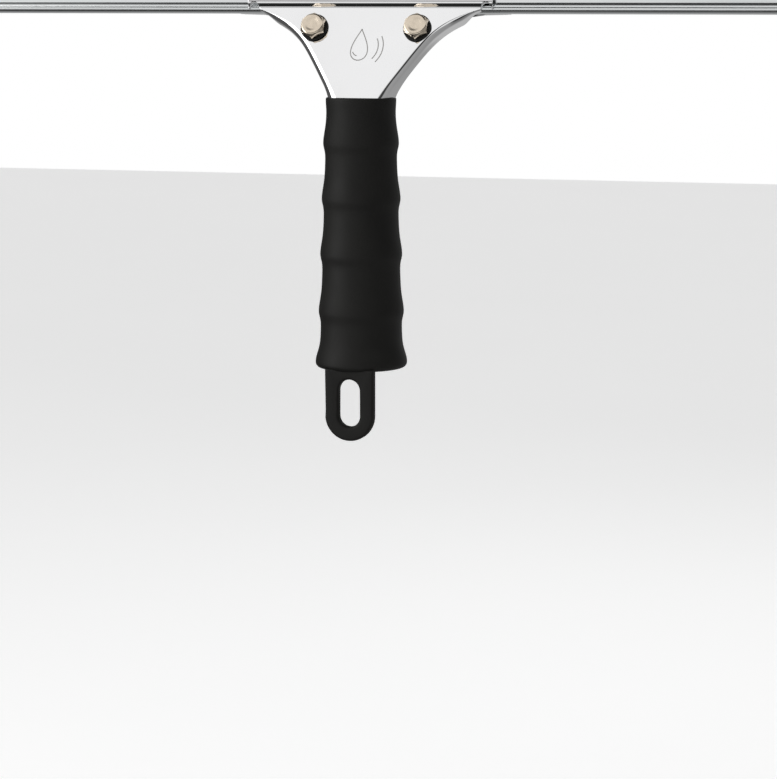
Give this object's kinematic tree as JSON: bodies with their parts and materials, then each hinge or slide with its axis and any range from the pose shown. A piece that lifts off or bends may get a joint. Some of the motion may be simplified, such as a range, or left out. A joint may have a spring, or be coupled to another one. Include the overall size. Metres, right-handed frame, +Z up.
{
  "type": "window cleaning squeegee",
  "caption": "Window squeegee: pressed steel handle with a ribbed rubber grip and hang loop, a bolted jaw clamp, a sliding channel and a rubber blade.",
  "frame": {"origin": "on the grip's axis, at the mouth of the pole socket, level with the grip's bottom edge", "axes": "+Z up along the grip, +X along the channel to the right seen from the bolt heads' side, +Y to the back"},
  "size_m": [0.456, 0.0445, 0.2019],
  "materials": {
    "polished_steel": "mirror-polished stainless steel sheet",
    "channel_steel": "bright rolled stainless steel",
    "warm_nickel": "warm nickel-brass, lightly polished",
    "moulded_rubber": "matt moulded rubber",
    "blade_rubber": "soft satin rubber"
  },
  "bodies": {
    "handle": {"handle_shell": "polished_steel", "grip_sleeve": "moulded_rubber", "left_washer": "moulded_rubber", "right_washer": "moulded_rubber"},
    "rear_jaw": {"rear_jaw": "polished_steel", "left_nut": "warm_nickel", "right_nut": "warm_nickel"},
    "left_bolt": {"left_bolt": "warm_nickel"},
    "right_bolt": {"right_bolt": "warm_nickel"},
    "hang_loop": {"hang_loop": "moulded_rubber"},
    "channel": {"channel": "channel_steel"},
    "blade": {"rubber_blade": "blade_rubber"},
    "left_end_clip": {"left_end_clip": "channel_steel"},
    "right_end_clip": {"right_end_clip": "channel_steel"}
  },
  "joints": [
    {"name": "left_bolt_turn", "type": "hinge", "parent": "handle", "child": "left_bolt", "pos_m": [-0.0228, 0.00657, 0.14345], "axis": [0, -0.8988, 0.4384], "range_deg": [0, 540]},
    {"name": "right_bolt_turn", "type": "hinge", "parent": "handle", "child": "right_bolt", "pos_m": [0.0228, 0.00657, 0.14345], "axis": [0, -0.8988, 0.4384], "range_deg": [0, 540]},
    {"name": "jaw_clamp", "type": "slide", "parent": "handle", "child": "rear_jaw", "axis": [0, 0.8988, -0.4384], "range_m": [0, 0.0015]},
    {"name": "channel_slide", "type": "slide", "parent": "handle", "child": "channel", "axis": [1, 0, 0], "range_m": [-0.15, 0.15]},
    {"name": "blade_slide", "type": "slide", "parent": "channel", "child": "blade", "axis": [1, 0, 0], "range_m": [-0.15, 0.15]},
    {"name": "left_clip_pull", "type": "slide", "parent": "channel", "child": "left_end_clip", "axis": [-1, 0, 0], "range_m": [0, 0.012]},
    {"name": "right_clip_pull", "type": "slide", "parent": "channel", "child": "right_end_clip", "axis": [1, 0, 0], "range_m": [0, 0.012]},
    {"name": "hang_loop_bend", "type": "hinge", "parent": "handle", "child": "hang_loop", "pos_m": [0, -0.0155, -0.0026], "axis": [1, 0, 0], "range_deg": [-40, 25], "stiffness_Nm_per_rad": 0.05}
  ],
  "couplings": [
    {"joint": "left_bolt_turn", "follows": "jaw_clamp", "rad_per_m": 6283},
    {"joint": "right_bolt_turn", "follows": "jaw_clamp", "rad_per_m": 6283}
  ]
}
